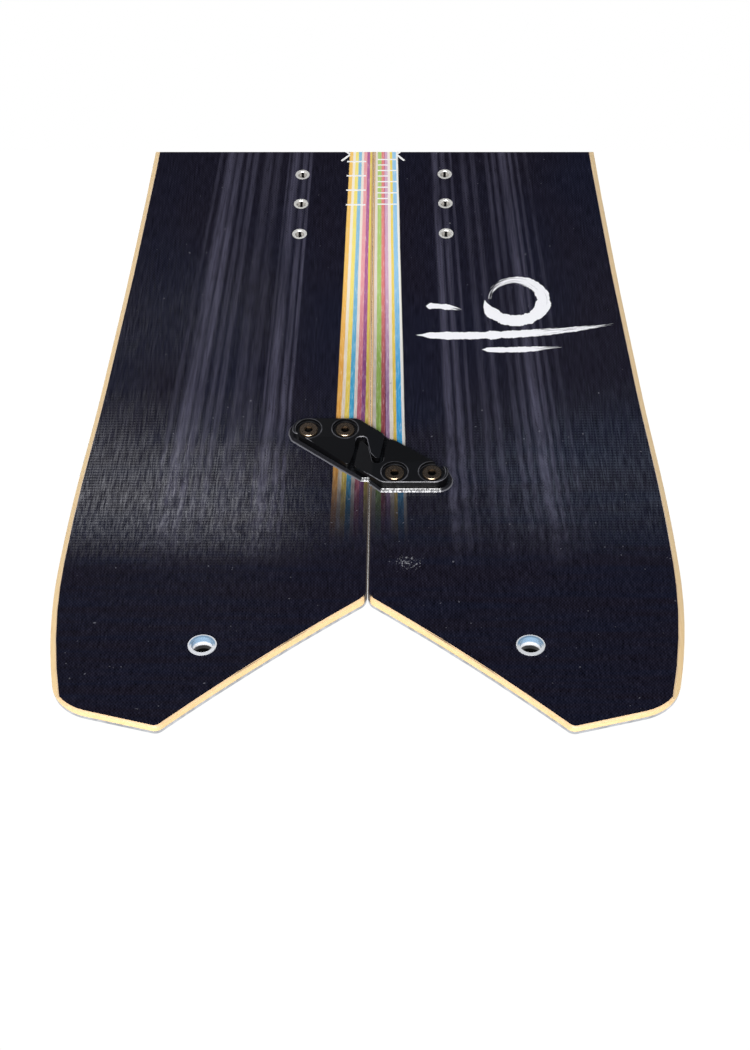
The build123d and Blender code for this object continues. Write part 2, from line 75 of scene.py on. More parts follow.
class Value:
    """A node's output. Arithmetic on it adds the Math nodes that work the result out."""

    def __init__(self, tree, socket):
        self.tree = tree
        self.socket = socket

    def math(self, operation, *others):
        return add_node(self.tree, "Math", dict(enumerate((self, *others))), operation=operation)

    def __add__(self, other):
        return self.math("ADD", other)

    def __sub__(self, other):
        return self.math("SUBTRACT", other)

    def __rsub__(self, other):
        return add_node(self.tree, "Math", {0: other, 1: self}, operation="SUBTRACT")

    def __mul__(self, other):
        return self.math("MULTIPLY", other)

    def __truediv__(self, other):
        return self.math("DIVIDE", other)

    def __pow__(self, other):
        return self.math("POWER", other)

    def __abs__(self):
        return self.math("ABSOLUTE")

    __radd__ = __add__
    __rmul__ = __mul__

    def at_least(self, other):
        return self.math("MAXIMUM", other)

    def at_most(self, other):
        return self.math("MINIMUM", other)

    def wave(self, period):
        """A sine wave over the value."""
        return (self * (2 * math.pi / period)).math("SINE")

    def ramp(self, low, high, out_low=0.0, out_high=1.0, shape="SMOOTHSTEP"):
        """Goes from out_low to out_high as the value goes from low to high, and no further."""
        inputs = dict(enumerate((self, low, high, out_low, out_high)))
        return add_node(self.tree, "MapRange", inputs, interpolation_type=shape)


def strongest(values):
    """The greatest of several values at each point."""
    return functools.reduce(Value.at_least, values)


def hypotenuse(dx, dy):
    """The distance in plan that two distances at right angles make."""
    return (dx * dx + dy * dy) ** 0.5


def srgb(red, green, blue):
    """A linear colour with alpha, from one given in 0-255 display values."""
    linear = []
    for level in (red / 255, green / 255, blue / 255):
        linear.append(level / 12.92 if level <= 0.04045 else ((level + 0.055) / 1.055) ** 2.4)
    return (*linear, 1.0)


class Shader:
    """A material with one surface shader, and the kinds of texture that the materials share."""

    def __init__(self, name, surface="BsdfPrincipled"):
        self.material = bpy.data.materials.new(name)
        self.material.use_nodes = True
        self.tree = self.material.node_tree
        self.tree.nodes.clear()
        self.surface = self.tree.nodes.new("ShaderNode" + surface)
        out = self.tree.nodes.new("ShaderNodeOutputMaterial")
        self.tree.links.new(self.surface.outputs[0], out.inputs[0])
        metres = self.add("TexCoord", {}, "Object")
        position = self.add("VectorMath", {0: metres, "Scale": 1 / MM}, operation="SCALE")
        self.x, self.y, self.z = self.split(position)

    def add(self, kind, inputs, output=0, **settings):
        return add_node(self.tree, kind, inputs, output, **settings)

    def set(self, **values):
        """Sets inputs of the surface shader, named with underscores for their spaces."""
        for name, value in values.items():
            put(self.tree, value, self.surface.inputs[name.replace("_", " ")])

    def split(self, vector):
        """The x, y and z of a vector."""
        node = self.tree.nodes.new("ShaderNodeSeparateXYZ")
        put(self.tree, vector, node.inputs[0])
        return [Value(self.tree, output) for output in node.outputs]

    def vector(self, x, y, z=0.0):
        return self.add("CombineXYZ", {0: x, 1: y, 2: z})

    def noise(self, vector, detail=2.0, rough=0.5, distortion=0.0):
        levels = {"Scale": 1.0, "Detail": detail, "Roughness": rough, "Distortion": distortion}
        return self.add("TexNoise", {"Vector": vector, **levels})

    def grain(self, along_x, along_y, along_z=1.0, x=None, **levels):
        """Noise with grains this long on each axis, in mm, over another x where one is given."""
        x = self.x if x is None else x
        return self.noise(self.vector(x / along_x, self.y / along_y, self.z / along_z), **levels)

    def mix(self, factor, a, b, blend="MIX"):
        """Colour a where the factor is 0, and colour b over it where the factor is 1."""
        return self.add("Mix", {0: factor, 6: a, 7: b}, 2, data_type="RGBA", blend_type=blend)

    def stops(self, value, stops, interpolation):
        """A colour ramp from a list of (place, colour)."""
        node = self.tree.nodes.new("ShaderNodeValToRGB")
        ramp = node.color_ramp
        ramp.interpolation = interpolation
        while len(ramp.elements) < len(stops):
            ramp.elements.new(1.0)
        for element, (place, colour) in zip(ramp.elements, stops):
            element.position = place
            element.color = colour
        put(self.tree, value, node.inputs[0])
        return Value(self.tree, node.outputs[0])

    def bump(self, height, strength, depth):
        """Bump over the surface, its depth in mm."""
        inputs = {"Height": height, "Strength": strength, "Distance": depth * MM}
        self.set(Normal=self.add("Bump", inputs))

    def surface_height(self):
        """Height of the board's top surface: flat, then a rising curve over each kick."""
        tail = (TAIL_KICK_Y - self.y).at_least(0.0)
        nose = (self.y - NOSE_KICK_Y).at_least(0.0)
        return tail * tail / (2 * TAIL_KICK_R) + nose * nose / (2 * NOSE_KICK_R) + FLAT_TOP

    def from_screw(self):
        """Distance in plan from the axis of the nearest hook screw."""
        aside = [abs(abs(self.x) - x) for x in SCREW_X]
        along = [abs(abs(self.y - middle) - SCREW_Y) for middle in HOOK_Y]
        return hypotenuse(aside[0].at_most(aside[1]), along[0].at_most(along[1]))

    def level(self):
        """How nearly level the face is: 1 for a top face, 0 for a wall."""
        normal = self.add("NewGeometry", {}, "True Normal")
        return abs(self.split(normal)[2])

    def seam_greying(self):
        """How grey a face is turned beside the bare end of the seam, behind the hooks."""
        return abs(self.x).ramp(1.2, 1.7, 0.9, 0.0) * self.y.ramp(-640.0, -600.0, 1.0, 0.0)


# ---- topsheet ----
# dyed wood stripes along the seam: where each begins, as a share of the strip's half-width,
# its colour near the tail, and its lighter colour further forward
STRIPES = [
    (-1.00, (212, 160, 80), (250, 204, 112)),
    (-0.865, (210, 198, 182), (248, 240, 222)),
    (-0.765, (212, 190, 92), (250, 232, 132)),
    (-0.625, (72, 156, 190), (146, 198, 226)),
    (-0.495, (202, 192, 186), (245, 232, 220)),
    (-0.40, (172, 100, 116), (240, 172, 176)),
    (-0.27, (126, 74, 120), (184, 110, 160)),
    (-0.155, (188, 170, 86), (236, 212, 104)),
    (-0.035, (184, 172, 142), (238, 220, 184)),
    (0.025, (158, 126, 96), (216, 180, 136)),
    (0.065, (174, 168, 156), (236, 224, 212)),
    (0.165, (132, 156, 82), (180, 210, 126)),
    (0.32, (148, 78, 84), (232, 142, 138)),
    (0.425, (110, 60, 86), (200, 122, 148)),
    (0.46, (154, 124, 156), (216, 178, 204)),
    (0.565, (210, 202, 192), (246, 236, 228)),
    (0.665, (206, 182, 88), (246, 220, 112)),
    (0.765, (64, 156, 202), (158, 206, 236)),
    (0.915, (216, 213, 208), (244, 242, 234)),
]
STRIP_HALF, STRIP_WIDENING = 7.7, 0.0175  # half-width in mm, and its growth per mm from mid-length

# lengthwise streaks on the left (-1) and right (1) half, each with its distance from the seam
# FAN_Y away from mid-length, its half-width and its strength
STREAKS = {
    -1: [(37.6, 0.9, 0.8), (41.0, 1.6, 0.75), (46.5, 2.6, 0.8), (50.4, 0.7, 0.45),
         (57.0, 2.2, 0.32), (63.0, 2.6, 0.36), (71.2, 1.7, 0.5), (75.6, 1.5, 0.45),
         (80.8, 1.9, 0.85), (86.0, 2.8, 0.75), (92.4, 1.1, 0.35)],
    1: [(36.6, 2.0, 0.8), (41.4, 1.6, 0.7), (46.0, 0.9, 0.5), (53.4, 1.8, 0.35),
        (59.2, 1.6, 0.4), (67.6, 1.3, 0.45), (71.8, 1.4, 0.5), (77.4, 2.4, 0.9),
        (81.8, 1.1, 0.7), (85.6, 0.9, 0.4), (91.0, 1.2, 0.25)],
}
FAN_Y, FAN_SPREAD = 390.0, 0.0007  # the streaks move apart by this share for each mm past FAN_Y
ROUND_OFF = 300.0  # mm either side of mid-length over which the fan turns round smoothly

# brush graphic on the right half: a ring and three strokes, in mm
RING_CENTRE, RING_RADIUS, RING_HALF, RING_INWARD, RING_SEED = (80.0, -500.0), 17.0, 4.2, 2.6, 5.3
# each stroke has its start, end, half-width, bend and seed
BRUSH_STROKES = [
    ((24, -527), (134, -519), 3.0, -3.5, 3.1),
    ((30, -505), (50, -508), 2.4, 1.0, 7.7),
    ((60, -538), (104, -536), 2.2, -1.0, 17.9),
]
RAGGED_LENGTH, DRY_LENGTH = 5, 26  # mm of stroke over which its edge and its dry gaps change
BRISTLES = 1.7  # gaps per mm across a stroke

LINEN_ACROSS, LINEN_ALONG, THREAD_ROWS = 1.7, 2.1, 1.9  # mm from thread to thread
SCUFF_CENTRE, SCUFF_REACH = (19.0, -688.0), (8.0, 6.0)


def from_middle(s):
    """Distance along the board from mid-length, rounded off near it to no less than half of ROUND_OFF."""
    away = abs(s.y)
    inner = away.at_most(ROUND_OFF)
    return (away - inner) + (inner * inner / (2 * ROUND_OFF) + ROUND_OFF / 2)


def fanned_x(s, distance):
    """The x that a streak would have FAN_Y away from mid-length."""
    wander = s.grain(60.0, 420.0, detail=1.0) - 0.5
    return (s.x + wander * 2.4) / ((distance - FAN_Y) * FAN_SPREAD + 1.0)


def fine_fibre(s, across):
    """Hair-thin fibres that run with the streaks."""
    return s.grain(0.9, 42.0, x=across, detail=3.0, rough=0.6)


def mottle(s):
    """Small uneven spots of wear."""
    return s.grain(1.3, 2.2, rough=0.6)


def streak_field(across):
    """The strength of the streaks of both halves, from the fanned x."""
    bands = []
    for side, streaks in STREAKS.items():
        for middle, half, strength in streaks:
            offset = abs(across - side * middle)
            bands.append(offset.ramp(half * 0.3, half * 1.45, strength, 0.0))
    return strongest(bands)


def streaked_ground(s, across, fine):
    """The sheet's dark colour with its pale streaks and hairs."""
    cloud = s.grain(70.0, 150.0)
    colour = s.mix(cloud.ramp(0.35, 0.7), srgb(25, 23, 34), srgb(22, 24, 39))
    breaks = s.grain(9.0, 110.0, x=across, detail=3.0, rough=0.55).ramp(0.28, 0.62, 0.3, 1.0)
    running_out = s.y.ramp(-702.0, -622.0) * s.y.ramp(600.0, 700.0, 1.0, 0.0)
    streaks = streak_field(across) * breaks * running_out * fine.ramp(0.3, 0.66, 0.45, 1.0)
    colour = s.mix(streaks * 0.8, colour, srgb(94, 92, 112))
    hair = fine.ramp(0.55, 0.75) * cloud.ramp(0.3, 0.7, 0.25, 0.7)
    return s.mix(hair * 0.3, colour, srgb(54, 54, 72))


def add_linen_light_and_shade(s, colour, grain):
    """Painted highlights on the crowns of the linen weave and painted shade in its gaps."""
    linen = s.x.wave(LINEN_ACROSS) * s.y.wave(LINEN_ALONG)
    cell = linen * 0.3 + (grain - 0.5) * 1.3
    # painted highlight on the weave's crowns, then painted shade in its gaps
    colour = s.mix(cell.ramp(0.0, 0.6, 0.0, 0.5), colour, srgb(52, 51, 68))
    return s.mix(cell.ramp(-0.6, 0.0, 0.9, 0.0), colour, srgb(3, 3, 6))


def dyed_wood(s, distance, share):
    """The dyed stripes' wood, deeper and more soaked in dye near the tail and nose."""
    place = share * 0.5 + 0.5
    deep_stops = [((edge + 1) / 2, srgb(*deep)) for edge, deep, pale in STRIPES]
    pale_stops = [((edge + 1) / 2, srgb(*pale)) for edge, deep, pale in STRIPES]
    deep = s.stops(place, deep_stops, "CONSTANT")
    pale = s.stops(place, pale_stops, "CONSTANT")
    dyed = s.mix(distance.ramp(575.0, 470.0), deep, pale)
    wood = s.grain(0.5, 7.0, detail=4.0, rough=0.65)
    knots = s.grain(1.6, 20.0, detail=3.0, rough=0.6)
    soaked = (wood + knots * 0.7).ramp(0.6, 1.05, 1.0, 0.0) * distance.ramp(420.0, 590.0, 0.3, 0.85)
    richer = s.mix(0.55, dyed, s.mix(1.0, dyed, dyed, "MULTIPLY"))
    dyed = s.mix(soaked, dyed, richer)
    chalky = wood.ramp(0.52, 0.72) * distance.ramp(590.0, 420.0, 0.25, 0.4)
    return s.mix(chalky, dyed, srgb(250, 246, 240))


def dry_paint(s, u, v, length, half_width, seed):
    """Dry brush paint, from the share u of the way along a stroke and the distance v from its middle."""
    ragged = s.noise(s.vector(u * (length / RAGGED_LENGTH), seed), detail=3.0, rough=0.7)
    swell = u.ramp(-0.02, 0.12) * u.ramp(0.55, 1.05, 1.0, 0.25)
    width = swell * ((ragged + 0.45) * half_width)
    body = (width - abs(v)).ramp(0.0, 0.35)
    ends = u.ramp(0.0, 0.012) * u.ramp(0.985, 1.0, 1.0, 0.0)
    bristle_at = s.vector(u * (length / DRY_LENGTH), v * BRISTLES, seed)
    bristles = s.noise(bristle_at, detail=3.0, rough=0.65)
    running_dry = (bristles - u.ramp(0.35, 1.0, 0.22, 0.53)).ramp(0.0, 0.05)
    return body * ends * running_dry


def brush_stroke(s, start, end, half_width, bend, seed):
    """One brush stroke from start to end."""
    along = Vector(end) - Vector(start)
    length = along.length
    along.normalize()
    dx = s.x - start[0]
    dy = s.y - start[1]
    u = dx * (along.x / length) + dy * (along.y / length)
    v = dx * -along.y + dy * along.x
    bow = (1.0 - u) * (u * (4 * bend))
    return dry_paint(s, u, v - bow, length, half_width, seed)


def brush_ring(s, centre, radius, half_width, inward, seed):
    """An open ring drawn in one turn of the brush, which starts at its left and winds inward."""
    dx = s.x - centre[0]
    dy = s.y - centre[1]
    turn = dy.math("ARCTAN2", dx) / (2 * math.pi) + 0.5
    v = hypotenuse(dx, dy) - radius + turn * inward
    return dry_paint(s, turn, v, 2 * math.pi * radius, half_width, seed)


def brush_graphic(s):
    """Where the white paint of the brush graphic lies."""
    ring = brush_ring(s, RING_CENTRE, RING_RADIUS, RING_HALF, RING_INWARD, RING_SEED)
    return strongest([ring] + [brush_stroke(s, *stroke) for stroke in BRUSH_STROKES])


def scuffs(s):
    """White scuffs on the right half, near the notch."""
    speck = s.grain(1.1, 1.3, detail=3.0, rough=0.75)
    dx = (s.x - SCUFF_CENTRE[0]) / SCUFF_REACH[0]
    dy = (s.y - SCUFF_CENTRE[1]) / SCUFF_REACH[1]
    return (speck - hypotenuse(dx, dy) * 0.16).ramp(0.47, 0.56)


def add_wear_and_seam_highlight(s, colour, scuff, spots, ends):
    """Scuffs, dust, and a pale line along the seam that is a painted highlight of its edges."""
    colour = s.mix(scuff * 0.55, colour, srgb(176, 176, 184))
    dust = s.grain(2.4, 2.4, detail=1.0).ramp(0.775, 0.8)
    colour = s.mix(dust * 0.5, colour, srgb(120, 120, 130))
    # painted highlight along the edges of the seam, uneven in strength
    painted_edge_highlight = abs(s.x).ramp(0.3, 0.6, 1.0, 0.0) * spots.ramp(0.3, 0.6, 0.35, 1.0)
    return s.mix(painted_edge_highlight * ends.ramp(0.0, 0.8, 0.4, 0.12), colour, srgb(150, 148, 150))


def set_sheet_gloss(s, fine, spots, scuff):
    """Gloss in crosswise threads, strongest on a band of the tail between its hooks and its notch."""
    s.set(Roughness=spots.ramp(0.25, 0.75, 0.17, 0.23) + scuff * 0.2)
    threads = s.y.wave(THREAD_ROWS) * 0.09 + s.grain(0.6, 16.0)
    polished = s.y.ramp(-694.0, -650.0) * s.y.ramp(-642.0, -552.0, 1.0, 0.08)
    gloss = threads.ramp(0.34, 0.68, 0.12, 1.1) * (polished + 0.04)
    s.set(Specular_IOR_Level=gloss * fine.ramp(0.35, 0.65, 0.6, 1.25))
    s.bump(threads, 0.4, 0.01)


def make_topsheet():
    """Dark printed sheet with streaks, painted light and shade of its linen weave, the dyed stripes and
    the brush graphic.
    """
    s = Shader("topsheet_print_and_painted_light")
    distance = from_middle(s)
    across = fanned_x(s, distance)
    fine = fine_fibre(s, across)
    spots = mottle(s)
    scuff = scuffs(s)
    grain = s.grain(0.9, 9.0)
    colour = add_linen_light_and_shade(s, streaked_ground(s, across, fine), grain)

    jitter = s.grain(2.0, 55.0, rough=0.6) - 0.5
    share = (s.x + jitter * 0.5) / (distance * STRIP_WIDENING + STRIP_HALF)
    inside = abs(share).ramp(0.985, 1.02, 1.0, 0.0)
    ends = s.y.ramp(-678.0, -580.0) * s.y.ramp(580.0, 678.0, 1.0, 0.0)
    inlaid = inside * (ends * (ends + grain * 0.6).ramp(0.45, 0.95, 0.35, 1.0))
    colour = s.mix(inlaid, colour, dyed_wood(s, distance, share))

    colour = s.mix(brush_graphic(s), colour, srgb(240, 240, 244))
    colour = add_wear_and_seam_highlight(s, colour, scuff, spots, ends)

    # the sheet's cut edge is bare and pale, a colour that also serves as a painted highlight along its
    # bevel, and stained along the seam
    beside_seam = abs(s.x).ramp(1.4, 2.2, 1.0, 0.0)
    seam_edge = s.mix(inlaid, srgb(38, 36, 46), srgb(208, 176, 134))
    edge = s.mix(beside_seam, srgb(222, 190, 150), seam_edge)
    s.set(Base_Color=s.mix(s.level().ramp(0.80, 0.86, 1.0, 0.0), colour, edge))
    set_sheet_gloss(s, fine, spots, scuff)
    return s.material


def make_pad():
    """Black hook pad, with a painted highlight low on its sloping sides."""
    s = Shader("pad_black_and_painted_highlight")
    above = s.z - s.surface_height()
    # painted highlight low on the sloping sides, dark above it
    slope = s.mix(above.ramp(0.25, 0.7), srgb(104, 104, 110), srgb(30, 30, 34))
    s.set(Base_Color=s.mix(s.level().ramp(0.90, 0.96), slope, srgb(9, 9, 11)))
    fine = fine_fibre(s, fanned_x(s, from_middle(s)))
    set_sheet_gloss(s, fine, mottle(s), scuffs(s))
    return s.material


# ---- the other materials ----
# grey for the faces beside the bare end of the seam, behind the hooks
SEAM_GREY = srgb(84, 82, 86)


def make_sidewall():
    """Tan-yellow sidewall with faint lengthwise grain."""
    s = Shader("sidewall_tan")
    grain = s.grain(3.0, 30.0, 0.5, detail=3.0, rough=0.6)
    spots = s.grain(9.0, 9.0, 9.0)
    colour = s.mix(grain.ramp(0.3, 0.7), srgb(246, 205, 138), srgb(255, 224, 168))
    colour = s.mix(spots.ramp(0.55, 0.75, 0.0, 0.3), colour, srgb(226, 176, 104))
    s.set(Base_Color=s.mix(s.seam_greying(), colour, SEAM_GREY))
    s.set(Roughness=grain.ramp(0.3, 0.7, 0.42, 0.55))
    s.bump(grain, 0.2, 0.05)
    return s.material


def make_laminate():
    """Glass laminate: warm and milky, with a woven fleck."""
    s = Shader("laminate_glass")
    weave = s.grain(1.2, 1.2, 0.2, detail=3.0)
    colour = s.mix(weave.ramp(0.3, 0.7), srgb(222, 186, 138), srgb(244, 214, 168))
    s.set(Base_Color=s.mix(s.seam_greying(), colour, SEAM_GREY))
    s.set(Roughness=weave.ramp(0.3, 0.7, 0.35, 0.5))
    return s.material


def make_core():
    """Pale wood core with long growth rings."""
    s = Shader("core_wood")
    rings = s.grain(3.0, 120.0, 3.0, detail=4.0, rough=0.6, distortion=0.4)
    s.set(Base_Color=s.mix(rings.ramp(0.3, 0.7), srgb(205, 160, 104), srgb(232, 200, 148)))
    s.set(Roughness=rings.ramp(0.3, 0.7, 0.5, 0.7))
    s.bump(rings, 0.2, 0.1)
    return s.material


def make_base():
    """Graphite black running base with a stone-ground structure."""
    s = Shader("running_base")
    grind = s.grain(0.5, 60.0, detail=3.0, rough=0.6)
    cloud = s.grain(45.0, 90.0)
    colour = s.mix(cloud.ramp(0.35, 0.7), srgb(20, 21, 25), srgb(30, 32, 40))
    s.set(Base_Color=s.mix(grind.ramp(0.45, 0.7, 0.0, 0.4), colour, srgb(66, 68, 78)))
    s.set(Roughness=grind.ramp(0.3, 0.7, 0.3, 0.5))
    s.bump(grind, 0.3, 0.04)
    return s.material


def make_edge_steel():
    """Ground steel with fine scratches and uneven gloss."""
    s = Shader("edge_steel")
    scratch = s.grain(0.6, 8.4, 0.6, detail=3.0, rough=0.7)
    patch = s.grain(4.8, 4.8, 4.8)
    s.set(Base_Color=s.mix(patch.ramp(0.3, 0.7), srgb(168, 170, 174), srgb(206, 208, 212)))
    s.set(Metallic=1.0, Roughness=scratch.ramp(0.25, 0.75, 0.22, 0.4))
    s.bump(scratch, 0.25, 0.02)
    return s.material


def make_eyelet_metal():
    """Eyelet with a painted white highlight on its rim and its side towards the tail, then down its bore
    painted reflections in a cool band and a pale one, and painted shade at its foot.
    """
    s = Shader("eyelet_metal")
    haze = s.grain(1.5, 1.5, 0.8, detail=3.0)
    at_tail = s.y.math("LESS_THAN", 0.0)
    middle_x = at_tail * (TAIL_EYELET[0] - NOSE_EYELET[0]) + NOSE_EYELET[0]
    middle_y = at_tail * (TAIL_EYELET[1] - NOSE_EYELET[1]) + NOSE_EYELET[1]
    dy = s.y - middle_y
    radius = hypotenuse(abs(s.x) - middle_x, dy)
    depth = (s.surface_height() - s.z) + (haze - 0.5) * 0.5
    # painted reflections down the bore, then painted shade at its foot
    bore = s.stops(depth / FLAT_TOP, [
        (0.0, srgb(140, 172, 200)),
        (0.24, srgb(132, 164, 192)),
        (0.34, srgb(232, 234, 238)),
        (0.52, srgb(222, 222, 224)),
        (0.60, srgb(16, 16, 18))], "LINEAR")
    # painted highlight on the rim, and over the side towards the tail
    rim = radius.ramp(6.0, 6.3).at_least(dy.ramp(-1.5, 1.5, 1.0, 0.0))
    s.set(Base_Color=s.mix(rim * depth.ramp(0.5, 1.1, 1.0, 0.0), bore, srgb(240, 242, 246)))
    s.set(Metallic=0.25, Roughness=haze.ramp(0.3, 0.7, 0.2, 0.34))
    return s.material


def make_insert_steel():
    """Bright steel flange; down the hole the thread is painted, with painted shade in its middle and
    between its turns, and a painted glint on both sides.
    """
    s = Shader("insert_steel")
    scratch = s.grain(0.9, 0.9, 0.9, detail=3.0, rough=0.7)
    flange = s.mix(scratch.ramp(0.3, 0.7), srgb(222, 220, 216), srgb(246, 244, 240))
    offset = abs(abs(s.x) - COLUMN_X)
    # painted shade down the middle of the thread, and a painted glint on both sides
    thread = s.mix(offset.ramp(0.4, 1.3), srgb(14, 13, 13), srgb(236, 232, 226))
    turns = s.z.wave(1.0)
    # painted shade between the turns of the thread
    thread = s.mix(turns.ramp(-0.4, 0.4, 0.25, 0.0), thread, srgb(20, 19, 18))
    inside = s.z.ramp(FLAT_TOP - 0.7, FLAT_TOP - 0.3, 1.0, 0.0)
    s.set(Base_Color=s.mix(inside, flange, thread), Metallic=0.35)
    s.set(Roughness=scratch.ramp(0.25, 0.75, 0.2, 0.34))
    s.bump(scratch, 0.25, 0.02)
    return s.material


def make_screw_nickel():
    """Dark bronze hook screws with a painted highlight on the head's chamfer, painted glints on the walls
    of the hex socket and painted shade at its bottom.
    """
    s = Shader("screw_nickel")
    scratch = s.grain(0.5, 0.5, 0.5, detail=3.0, rough=0.7)
    level = s.level()
    head = s.mix(scratch.ramp(0.3, 0.7), srgb(76, 66, 58), srgb(118, 103, 88))
    # painted highlight on the head's chamfer
    chamfer = level.ramp(0.4, 0.5) * level.ramp(0.86, 0.93, 1.0, 0.0)
    head = s.mix(chamfer, head, srgb(140, 122, 102))
    # painted glints on the socket's walls, painted shade at its bottom
    socket = s.mix(level.ramp(0.3, 0.6), srgb(170, 140, 108), srgb(9, 8, 8))
    outside = s.from_screw().ramp(SOCKET_R, SOCKET_R + 0.25)
    s.set(Base_Color=s.mix(outside, socket, head), Metallic=0.85)
    s.set(Roughness=scratch.ramp(0.25, 0.75, 0.2, 0.32))
    return s.material


def make_hook_black():
    """Black satin coat, with painted highlights along the chamfers and round the counterbores."""
    s = Shader("hook_black")
    pebble = s.grain(0.35, 0.35, 0.35)
    scratch = s.grain(0.5, 6.0, 2.0, detail=3.0, rough=0.7, distortion=0.3)
    patch = s.grain(5.0, 5.0, 2.0)
    level = s.level()
    colour = s.mix(scratch.ramp(0.68, 0.8, 0.0, 0.25), srgb(10, 10, 12), srgb(60, 60, 66))
    # painted highlights along the chamfers and round the counterbores, uneven in strength
    chamfer = level.ramp(0.4, 0.5) * level.ramp(0.88, 0.95, 1.0, 0.0)
    rim = abs(s.from_screw() - COUNTERBORE_RIM_R).ramp(0.15, 0.4, 1.0, 0.0)
    rim = rim * level.ramp(0.9, 0.97, 0.0, 0.55)
    painted_edge_highlight = chamfer.at_least(rim) * patch.ramp(0.3, 0.65, 0.35, 1.0)
    s.set(Base_Color=s.mix(painted_edge_highlight, colour, srgb(112, 112, 118)))
    s.set(Roughness=pebble.ramp(0.2, 0.8, 0.3, 0.42), Specular_IOR_Level=0.35)
    s.bump(pebble, 0.25, 0.03)
    return s.material


def make_print():
    """White printed marks, slightly thin in places."""
    s = Shader("white_print")
    worn = s.grain(0.6, 0.6, 0.6, detail=3.0, rough=0.7)
    s.set(Base_Color=s.mix(worn.ramp(0.3, 0.5), srgb(226, 224, 222), srgb(252, 252, 250)))
    s.set(Roughness=0.5)
    return s.material


materials = {
    "topsheet": make_topsheet(),
    "laminate": make_laminate(),
    "core_wood": make_core(),
    "base": make_base(),
    "sidewall": make_sidewall(),
    "edge_steel": make_edge_steel(),
    "eyelet_metal": make_eyelet_metal(),
    "insert_steel": make_insert_steel(),
    "screw_nickel": make_screw_nickel(),
    "hook_black": make_hook_black(),
}
pad_material = make_pad()

slot_of = {entry["node"]: entry["material_slot"] for entry in frame["record"]["subparts"]}
for name, node in frame["nodes"].items():
    chosen = pad_material if name.endswith("hook_pad") else materials[slot_of[name]]
    node.data.materials.clear()
    node.data.materials.append(chosen)


# ---- printed stance scales ----
PRINT_LOW, PRINT_HIGH = 0.01, 0.05  # mm above the flat top
SCALE_MIDDLE = {"rear": -378.3, "front": 196.7}  # y of the middle of each scale
COARSE_STEP, COARSE_BARS = 12.6, (0.5, 1.5, 2.5, 3.5)  # bars this many steps from the middle
COARSE_FROM, COARSE_TO, COARSE_HALF = -16.0, -4.5, 0.6
FINE_STEP, FINE_BARS, FINE_SHIFT = 4.9, range(1, 10), 0.4
FINE_FROM, FINE_SHORT, FINE_LONG, FINE_HALF = 2.4, 8.5, 13.8, 0.52
# an arrowhead on each half: its x far from the seam and near it, and its rise from the middle there
LEFT_ARROW_X, RIGHT_ARROW_X = (-19.3, -14.4), (18.3, 13.9)
ARROW_FAR, ARROW_NEAR, ARROW_HALF = 5.6, 0.3, 0.65


def printed_line(start, end, half):
    """The four corners of a straight line of print, in mm."""
    a = Vector(start)
    b = Vector(end)
    along = (b - a).normalized() * half
    side = Vector((-along.y, along.x))
    return [a - side, b - side, b + side, a + side]


def marks_mesh(name, outlines):
    """Thin printed marks on the flat top, one four-sided outline each."""
    shape = bmesh.new()
    for outline in outlines:
        low, high = [
            [shape.verts.new((x * MM, y * MM, (FLAT_TOP + rise) * MM)) for x, y in outline]
            for rise in (PRINT_LOW, PRINT_HIGH)]
        shape.faces.new(high)
        for i in range(4):
            j = (i + 1) % 4
            shape.faces.new((low[i], low[j], high[j], high[i]))
    mesh = bpy.data.meshes.new(name)
    bmesh.ops.recalc_face_normals(shape, faces=shape.faces)
    shape.to_mesh(mesh)
    shape.free()
    mesh.materials.append(print_material)
    piece = bpy.data.objects.new(name, mesh)
    bpy.context.scene.collection.objects.link(piece)
    return piece


def stance_scale(middle):
    """Lines for the left half, with coarse bars, and for the right half, with fine ones."""
    left = []
    right = []
    for steps in COARSE_BARS:
        for way in (-1, 1):
            y = middle + way * COARSE_STEP * steps
            left.append(printed_line((COARSE_FROM, y), (COARSE_TO, y), COARSE_HALF))
    for steps in FINE_BARS:
        for way in (-1, 1):
            y = middle + way * (FINE_STEP * steps - FINE_SHIFT)
            reach = FINE_LONG if steps % 2 else FINE_SHORT
            right.append(printed_line((FINE_FROM, y), (reach, y), FINE_HALF))
    for way in (-1, 1):
        near = middle + way * ARROW_NEAR
        far = middle + way * ARROW_FAR
        for lines, (far_x, near_x) in ((left, LEFT_ARROW_X), (right, RIGHT_ARROW_X)):
            lines.append(printed_line((far_x, far), (near_x, near), ARROW_HALF))
    return {"left": left, "right": right}


print_material = make_print()
for pack, middle in SCALE_MIDDLE.items():
    for side, outlines in stance_scale(middle).items():
        piece = marks_mesh(f"{side}_{pack}_stance_marks", outlines)
        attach(piece, f"{side}_half")


# ---- floor, world and lights ----
FLOOR_SIZE, FLOOR_Z = 40, -0.0006  # m, the floor a little below the base so that they never meet
SHADE_REACH = 0.12  # m, how far away a surface still shades the floor
EYELET_SHADE_SHIFT = 17.0  # mm from each tail eyelet to the painted shadow spot that is seen through it


def make_floor():
    """White glowing ground with a painted shadow only where the board closes over it, darker in painted
    spots below the tail eyelets.
    """
    s = Shader("floor_white", "Emission")
    openness = s.add("AmbientOcclusion", {"Distance": SHADE_REACH}, "AO", samples=16)
    # painted shadow spots below the tail eyelets
    spots = []
    for way in (-1, 1):
        dx = s.x - way * TAIL_EYELET[0]
        dy = s.y - (TAIL_EYELET[1] + EYELET_SHADE_SHIFT)
        spots.append(hypotenuse(dx, dy).ramp(9.0, 14.0, 0.3, 0.0, "LINEAR"))
    s.set(Strength=(openness - strongest(spots)).ramp(0.0, 0.07, 0.004, 1.02))
    return s.material


